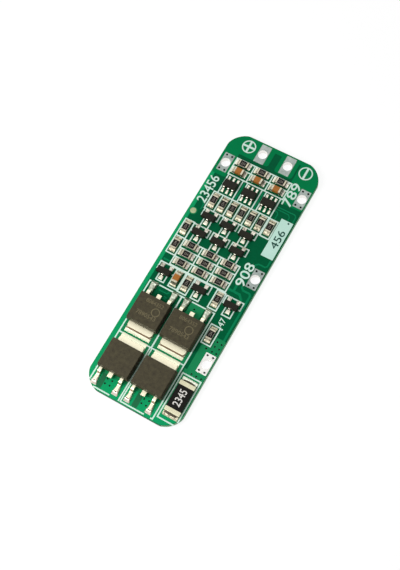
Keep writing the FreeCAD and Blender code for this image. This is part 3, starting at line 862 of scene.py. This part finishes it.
def switch_frame(drift):
    """Tab with rounded outer corners, cut middle lead and two formed leads, these a little to one side."""
    tab = block("tab", (5.33, 2.4, 0.5), (0, -3.0, 0.25))
    round_off(tab, lambda at, way: upright(at, way) and at.y < -4, 0.5, 6)
    stub = block("stub", (0.9, 1.6, 0.5), (drift, 3.15, 0.75))
    lead = formed_lead(0.62 if drift else 0.7, thick=0.5, rise=0.5, reach=2.5, foot=1.3,
                       slope=58.0, embed=0.5, radius=0.22)
    leads = both_ways(lead, lead_face, (drift - lead_pitch, drift + lead_pitch))
    tab = paint(soften(tab, 0.08, 3, 40), stamped_tin, cut_copper)
    steepest = 0.8 if drift else 0.98
    give(tab, 1, lambda at, way: abs(way.z) < steepest and at.y < -2.9)
    leads = paint(soften(join([stub] + leads, "leads"), 0.05, 2, 50), stamped_tin, cut_copper, lead_slope_painted_shade)
    # On the lower switches the leads' down slopes take painted shade
    if drift:
        give(leads, 2, lambda at, way: at.y > 3.3 and way.y > 0.4 and abs(way.x) < 0.3)
    return smooth(join([tab, leads], "switch_metal"), 40)


# Solder

def fillet(width, under, run, rise, side, corner, hollow):
    """Solder on its land: hollow from the metal's face at x = 0 down to a rounded end."""
    low, rim, steps = 0.03, 0.036, 10
    wedge = block("fillet", (run, width, rise), (run / 2, 0, low + rise / 2))
    round_off(wedge, lambda at, way: abs(way.x) > 0.9 and at.z > low + 0.01, side, 3)
    open_up(wedge)
    for step in range(1, steps):
        cut((run * step / steps, 0, 0), (1, 0, 0))
    for step in range(1, steps + 1):
        place = run * step / steps
        tall = (rim + (rise - rim) * (1 - step / steps) ** hollow) / rise
        past = max(0.0, (place - run + corner) / corner)
        narrow = 1 - 2 * corner / width * (1 - math.sqrt(1 - past ** 2))
        resize(wedge, "VERT", lambda at, way: abs(at.x - place) < 1e-4, (1, narrow, tall), (0, 0, low))
    close_up(wedge)
    land = block("land", (under + run + 0.03, width + 0.02, land_height),
                 ((run + 0.03 - under) / 2, 0, land_height / 2))
    round_off(land, lambda at, way: at.z > 0.04 or upright(at, way), 0.03, 2)
    return smooth(join([wedge, land], "fillet"), 60)


def pair(pattern, face, dark):
    """The joint at both ends of a chip, facing out from x = face; the +x joint in the darker solder of
    painted shade, and painted shade on the solder along the metal.
    """
    paint(pattern, reflowed, shaded_solder, crevice_shade)
    left = twin(pattern, "joint")
    right = twin(give(pattern, 1), "joint")
    for joint in (left, right):
        give(joint, 2, lambda at, way: at.z > above_land and at.x < dark)
        move(joint, face)
    move(left, degrees=180.0)
    put_away(pattern)
    return join([right, left], "joints")


def lead_solder(wide, foot, toe, narrow):
    """Cushion of solder under a small foot, narrower towards the body; x = 0 is the foot's toe."""
    cushion = block("lead_solder", (foot + toe, wide, 0.19), ((toe - foot) / 2, 0, 0.095))
    open_up(cushion)
    resize(cushion, "FACE", lambda at, way: way.z > 0.9, (0.92, 0.92, 1), (-0.05, 0, 0.2))
    resize(cushion, "FACE", lambda at, way: way.x < -0.5, (1, narrow, 1), (0, 0, 0))
    close_up(cushion)
    return smooth(round_off(cushion, lambda at, way: at.z > 0.05, 0.07, 3), 60)


def lead_mound(height, wide, neck):
    """Solder heaped over a power lead's foot, spreading from its neck to the wide end of its land."""
    land_length, land_width = 2.6, 1.48
    mound = block("mound", (land_width, land_length, height), (0, 0, height / 2))
    open_up(mound)
    resize(mound, "FACE", lambda at, way: way.z > 0.9, (wide, 0.66, 1), (0, -0.45, height))
    resize(mound, "FACE", lambda at, way: way.y < -0.5, (neck, 1, 1), (0, -land_length / 2, 0))
    close_up(mound)
    return smooth(round_off(mound, lambda at, way: at.z > 0.05, 0.18, 3, 0.4), 60)


def flux_and_shade_bead(long, wide, high, segments=24):
    """Flattened ball: a lump of flux on the lower power leads, and a bead of painted shade where the solder
    dips at the large resistor.
    """
    return smooth(shape("flux_and_shade_bead", bpy.ops.mesh.primitive_uv_sphere_add, (long, wide, high),
                        segments=segments, ring_count=10, radius=0.5), 60)


def power_joint(pattern, slot):
    """Copy of one part of a power switch's joint, all in one of the joint's four finishes."""
    return give(paint(twin(pattern, "joint"), pooled, frosted, flux_and_shadow, wetted), slot)


# Everything in its place

def set_board():
    """Board, covered copper and tracks."""
    board = set_down(bare_board())
    board.name = "board"
    hand_over(board, "board_laminate", "circuit_board")
    copper = covered_pours()
    carve(copper, board_slab(0.05, 0.0, 2.0), "INTERSECT", True)
    carve(copper, drills(wire_holes.values(), bore_radius + 0.05, bore_sides))
    carve(copper, via_drills(0.02))
    covered_tracks = paint(join([trace(*track) for track in tracks], "covered_tracks"), track_mask)
    for piece in (copper, covered_tracks):
        hand_over(set_down(smooth(piece, 50)), "board_laminate")


def set_legend():
    """Printed lines, which a cut that takes nothing away makes into one solid, and printed figures."""
    lines = join(chip_legend() + power_legend(), "legend_lines")
    carve(lines, block("nothing", (0.01, 0.01, 0.01), (0, 0, 9)), "DIFFERENCE", True)
    for piece in (paint(lines, line_ink), legend_figures(), white_block()):
        hand_over(set_down(piece), "board_laminate")


def set_wire_pads():
    """The six tinned wire pads, the pack's negative one freshly wetted."""
    for names, with_vias in ((plain_pads, False), (via_pads, True)):
        pattern = wire_pad(with_vias)
        for name in names:
            pad = twin(pattern, name.replace("_pad", "_land"))
            if name == "pack_negative_pad":
                pad.data.materials[0] = bright_tin
            hand_over(set_down(pad, *wire_holes[name]), "tinned_land", name)
        put_away(pattern)


def set_chips():
    """Every resistor and capacitor, with the solder at both ends of each."""
    joints = []
    for build, nodes, slot, height in (
            (chip_resistor, nodes_with("resistor"), "resistor_ceramic", resistor_height),
            (chip_capacitor, nodes_with("capacitor"), "capacitor_ceramic", capacitor_height)):
        pattern = build()
        solder = fillet(chip_width + 0.01, under=0.31, run=0.64, rise=0.74 * height, side=0.08, corner=0.2,
                        hollow=2.0)
        joint = pair(solder, chip_length / 2, dark=0.12)
        for name in nodes:
            x, y, degrees = middle_of(name)
            hand_over(set_down(twin(pattern, name + "_chip"), x, y, seat, degrees), slot, name)
            copy = twin(joint, "joint")
            # Upright chips: the near joint in a darker copy too, painted shade
            if degrees:
                paint(copy, near_shaded_solder, shaded_solder, crevice_shade)
            joints.append(set_down(copy, x, y, board_top, degrees))
        put_away(pattern, joint)
    hand_over(join(joints, "chip_joints"), "solder", "chip_solder")


def set_test_point():
    """Small round land, dished in the middle."""
    point = rod("test_point", 0.6, board_top - 0.01, seat + 0.01, 32)
    open_up(point)
    pick(point, "FACE", lambda at, way: way.z > 0.9)
    bpy.ops.mesh.inset(thickness=0.2)
    pull(0, 0, -0.015)
    bpy.ops.mesh.inset(thickness=0.12)
    point = paint(smooth(soften(close_up(point), 0.015)), gold)
    hand_over(set_down(point, *on_board(*test_point_place)), "tinned_land", "chip_solder")


def set_packages(nodes, width, span, lead_width, foot, land_width, toe, upper, lower):
    """Every package of one kind, as a body and its leads; returns their joints."""
    body, leads = small_package(width, span, lead_width, foot, upper, lower)
    cushion = move(lead_solder(land_width, foot + 0.12, toe, 0.8), degrees=90.0)
    solder = join(both_ways(paint(cushion, reflowed, shaded_solder), span / 2, upper, lower), "solder")
    # Joints on the far side in the darker solder: painted shade
    give(solder, 1, lambda at, way: at.y > 0)
    joints = []
    for name in nodes:
        x, y = middle_of(name)[:2]
        hand_over(set_down(twin(body, name + "_body"), x, y, seat), "moulded_epoxy", name)
        hand_over(set_down(twin(leads, name + "_leads"), x, y, seat), "tinned_copper", name)
        joints.append(set_down(twin(solder, "joint"), x, y, board_top))
    put_away(body, leads, solder)
    return joints


def set_small_packages():
    """Three-leaded transistors, then the six-leaded cell monitors."""
    row = left, middle, right = -0.95, 0.0, 0.95
    joints = set_packages(nodes_with("_transistor_"), width=1.3, span=2.4, lead_width=0.42, foot=0.36,
                          land_width=0.96, toe=0.46, upper=(left, right), lower=(middle,))
    joints += set_packages(nodes_with("cell_monitor"), width=1.6, span=2.9, lead_width=0.36, foot=0.4,
                           land_width=0.56, toe=0.42, upper=row, lower=row)
    hand_over(join(joints, "package_joints"), "solder", "package_solder")


def set_power_switches():
    """Two marked upper switches and two lower ones, which lie the other way round; returns their joints."""
    body, upper_metal, lower_metal = switch_body(), switch_frame(0.0), switch_frame(lower_drift)
    marks = switch_marks()
    tab_joint = move(fillet(5.36, under=2.0, run=0.76, rise=0.12, side=0.03, corner=0.1, hollow=1.6),
                     0.0, -4.2, 0.0, -90.0)
    low_mounds = both_ways(lead_mound(0.5, 0.74, 0.52), 5.02,
                           (lower_drift - lead_pitch, lower_drift + lead_pitch))
    high_mounds = both_ways(lead_mound(0.66, 0.78, 0.7), 4.9, (-lead_pitch, lead_pitch))
    beads = both_ways(flux_and_shade_bead(0.62, 0.2, 0.14), 5.6, (lower_drift - 2.25, lower_drift + 2.32))
    joints = []
    for number in range(1, 5):
        upper = number < 3
        name = "power_switch_" + str(number)
        x, y = middle_of(name + "_case")[:2]
        degrees = 0.0 if upper else 180.0
        case = twin(body, name + "_moulding")
        if upper:
            case = join([case, twin(marks, "marks")], name + "_moulding")
        hand_over(set_down(case, x, y, seat, degrees), "moulded_epoxy", name + "_case")
        frame_part = twin(upper_metal if upper else lower_metal, name + "_metal")
        hand_over(set_down(frame_part, x, y, seat, degrees), "tinned_copper", name + "_frame")
        solder = [power_joint(tab_joint, 3)]
        # On the upper switches the tab's solder along the tab wall is painted shadow
        if upper:
            give(solder[0], 2, lambda at, way: at.z > above_land and at.y > -4.33)
        for mound, bead in zip(high_mounds if upper else low_mounds, beads):
            solder.append(power_joint(mound, 1 if upper else 0))
            if not upper:
                solder.append(move(power_joint(bead, 2), 0.0, 0.0, 0.55))
        joints.append(set_down(join(solder, "joint"), x, y, board_top, degrees))
    put_away(body, upper_metal, lower_metal, marks, tab_joint, *low_mounds, *high_mounds, *beads)
    return joints


def set_shunt():
    """The large resistor and its end caps; returns its joint."""
    x, y, degrees = middle_of("current_shunt_caps")
    body, caps = shunt_body(), shunt_caps()
    hand_over(set_down(body, x, y, seat, degrees), "resistor_ceramic", "current_shunt_core")
    hand_over(set_down(caps, x, y, seat, degrees), "tinned_copper", "current_shunt_caps")
    solder = pair(fillet(shunt_width - 0.04, under=0.86, run=0.82, rise=0.36, side=0.06, corner=0.16,
                         hollow=2.2), shunt_length / 2, dark=0.1)
    for side in (-1, 1):
        # A dark bead at each cap's foot: painted shade where the solder dips
        bead = move(paint(flux_and_shade_bead(0.8, 2.96, 0.4, 48), reflowed, shaded_solder, crevice_shade), side * 3.2, 0.0, 0.18)
        solder = join([solder, give(bead, 2)], "joint")
    # The near joint in the darker copy of painted shade, the far one frosted
    solder.data.materials[0] = near_shaded_solder
    solder.data.materials[1] = frosted
    return set_down(solder, x, y, board_top, degrees)


# Stage: a pale floor, a white surround, a card, two soft lamps and the camera

def plain(name, colour):
    """A dull finish of one colour for the stage."""
    return finish(name, {"Roughness": 0.9, "Specular IOR Level": 0.1, "Base Color": linear(colour)})


def seen_by_camera(tree):
    """Light path node, and an output that is one where the camera or a mirror looks."""
    rays = add(tree, "LightPath")
    seen = add(tree, "Math", {0: rays.outputs["Is Camera Ray"], 1: rays.outputs["Is Glossy Ray"]},
               operation="MAXIMUM")
    return rays, seen.outputs[0]


def pale_floor():
    """Nearly white with faint shadows to the camera and in mirrors, plain and pale to other light."""
    deselect()
    bpy.ops.mesh.primitive_plane_add(size=3.0, location=(0, 0, -0.00002))
    floor = bpy.context.object
    floor.name = "floor"
    material, tree, shader = plain("pale_floor", "f2f2f2")
    rays, seen = seen_by_camera(tree)
    glow = add(tree, "Emission", None, {"Color": (1, 1, 1, 1), "Strength": 0.86})
    faint = add(tree, "BsdfDiffuse", None, {"Color": (0.22, 0.22, 0.22, 1)})
    both = add(tree, "AddShader", {0: glow.outputs[0], 1: faint.outputs[0]})
    mix = add(tree, "MixShader", {0: seen, 1: shader.outputs[0], 2: both.outputs[0]})
    tree.links.new(mix.outputs[0], tree.nodes["Material Output"].inputs["Surface"])
    floor.data.materials.append(material)


def white_surround():
    """White to the camera and in mirrors, dimmer as a light."""
    world = bpy.data.worlds.new("white_surround")
    bpy.context.scene.world = world
    world.use_nodes = True
    tree = world.node_tree
    rays, seen = seen_by_camera(tree)
    seen = add(tree, "Math", {0: seen, 1: rays.outputs["Is Transmission Ray"]}, operation="MAXIMUM")
    level = add(tree, "MapRange", {"Value": seen.outputs[0]}, {"To Min": 0.34, "To Max": 1.0})
    tree.links.new(level.outputs[0], tree.nodes["Background"].inputs["Strength"])
    tree.nodes["Background"].inputs["Color"].default_value = (1, 1, 1, 1)


def side_card():
    """Dark grey card to the right, hidden from the camera, that shades the solder on that side."""
    card = shape("side_card", bpy.ops.mesh.primitive_plane_add, (0.1, 0.4, 1), size=1.0,
                 location=(0.2, 0.05, 0.05), rotation=(0, -math.pi / 2, 0))
    card.visible_camera = False
    card.data.materials.append(plain("grey_card", "2c2c2a")[0])


def lamp(name, place, size, power):
    """Square lamp that shines on the board's middle."""
    light = bpy.data.lights.new(name, "AREA")
    light.size = size
    light.energy = power
    holder = new_object(name, light)
    holder.location = place
    holder.rotation_euler = (-Vector(place)).to_track_quat("-Z", "Y").to_euler()


def camera():
    """Looks down from the front right, at the photograph's angle."""
    picture_height = 570
    half_pixel = 0.5 / picture_height
    lens = bpy.data.cameras.new("camera")
    lens.sensor_width = 36.0
    lens.lens = 63.158
    lens.shift_x, lens.shift_y = -half_pixel, half_pixel
    lens.clip_start = 0.01
    holder = new_object("camera", lens)
    right_up_back = Matrix(((0.86546758, 0.49564442, -0.07281813), (-0.44580375, 0.82829906, 0.33938131),
                            (0.22852764, -0.26126093, 0.93782613)))
    eye = Vector((43.4543, -52.1405, 178.9256)) * MM
    holder.matrix_world = Matrix.Translation(eye) @ right_up_back.transposed().to_4x4()
    bpy.context.scene.camera = holder


set_board()
set_legend()
set_wire_pads()
set_chips()
set_test_point()
set_small_packages()
power_joints = join(set_power_switches() + [set_shunt()], "power_joints")
hand_over(power_joints, "solder", "power_solder")

pale_floor()
white_surround()
side_card()
lamp("key", (-0.06, -0.075, 0.1), size=0.07, power=0.108)
lamp("rear", (-0.05, 0.25, 0.28), size=0.2, power=0.22)
camera()
bpy.context.scene.view_settings.view_transform = "Standard"
